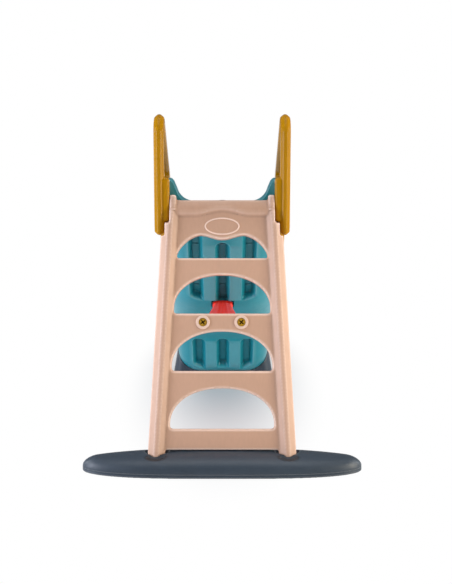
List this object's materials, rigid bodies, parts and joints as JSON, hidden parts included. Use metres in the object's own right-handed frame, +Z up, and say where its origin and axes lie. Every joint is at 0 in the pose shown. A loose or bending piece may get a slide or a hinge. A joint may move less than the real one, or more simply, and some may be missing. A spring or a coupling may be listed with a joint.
{
  "type": "kids water slide",
  "caption": "Small children's water slide: stepped ladder, double-curved chute, loop handrails, wide base bar, front foot, strut and a hose inlet under the deck.",
  "frame": {"origin": "middle of the base bar's flat underside, on the floor", "axes": "+Y down the slide, from the ladder to the end of the chute; +X to the right for someone climbing the ladder; +Z up"},
  "size_m": [0.7846, 1.5754, 0.9797],
  "materials": {
    "clay_pink": "satin blow-moulded polyethylene",
    "teal": "semi-gloss blow-moulded polyethylene",
    "slate": "satin moulded polyethylene",
    "mustard": "semi-gloss moulded polyethylene",
    "signal_red": "glossy moulded polypropylene",
    "black_rubber": "matt rubber",
    "zinc_steel": "zinc plated"
  },
  "bodies": {
    "slide": {"base_bar": "slate", "ladder_frame": "clay_pink", "chute": "teal", "front_foot": "slate", "handrail_left": "mustard", "handrail_right": "mustard", "brace": "signal_red", "brace_screw_left": "mustard", "brace_screw_right": "mustard", "base_screw_left": "zinc_steel", "base_screw_right": "zinc_steel", "front_foot_screw_left": "zinc_steel", "front_foot_screw_right": "zinc_steel", "handrail_rail_screw_left": "zinc_steel", "handrail_rail_screw_right": "zinc_steel", "handrail_deck_screw_left": "zinc_steel", "handrail_deck_screw_right": "zinc_steel", "handrail_wall_screw_left": "zinc_steel", "handrail_wall_screw_right": "zinc_steel", "spray_nozzle": "slate", "nozzle_gasket": "black_rubber", "inlet_lock_nut": "slate", "hose_tail": "slate", "hose_washer": "black_rubber"},
    "hose_nut": {"hose_nut": "mustard"}
  },
  "joints": [
    {"name": "hose_nut_spin", "type": "hinge", "parent": "slide", "child": "hose_nut", "pos_m": [0, 0.292, 0.66], "axis": [0, 0, 1], "continuous": true}
  ]
}
